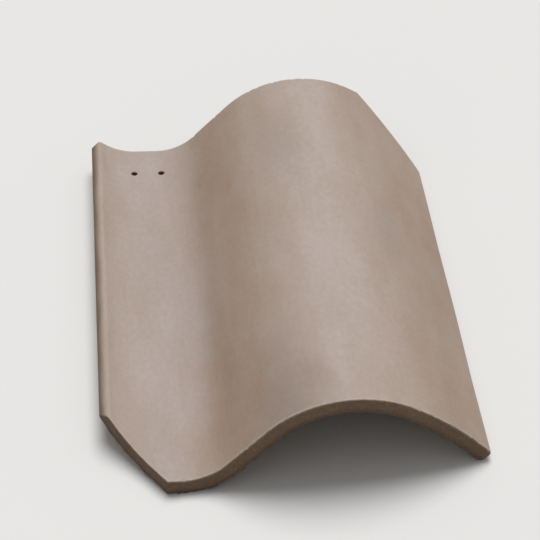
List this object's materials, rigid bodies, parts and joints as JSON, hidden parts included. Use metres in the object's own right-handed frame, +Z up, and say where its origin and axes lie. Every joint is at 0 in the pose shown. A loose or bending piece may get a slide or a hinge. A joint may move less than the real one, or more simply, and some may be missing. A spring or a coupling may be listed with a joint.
{
  "type": "clay roof tile",
  "caption": "One-piece S-shaped clay roof tile: a narrow pan that carries water beside a wide barrel cover whose edge laps over the next tile.",
  "frame": {"origin": "on the floor, under the middle of the tile's bounding box, with the tile lying unheld", "axes": "+Y up the roof slope, from the butt to the head; +X across the roof, from the lap to the cover edge; +Z up from the floor. Turned -4.73 degrees about +Y, the pan lies flat, as it does on a roof."},
  "size_m": [0.3018, 0.457, 0.0773],
  "materials": {
    "fired_clay": "matt weathered slip, unglazed"
  },
  "bodies": {
    "root": {"roof_tile": "fired_clay"}
  },
  "joints": []
}
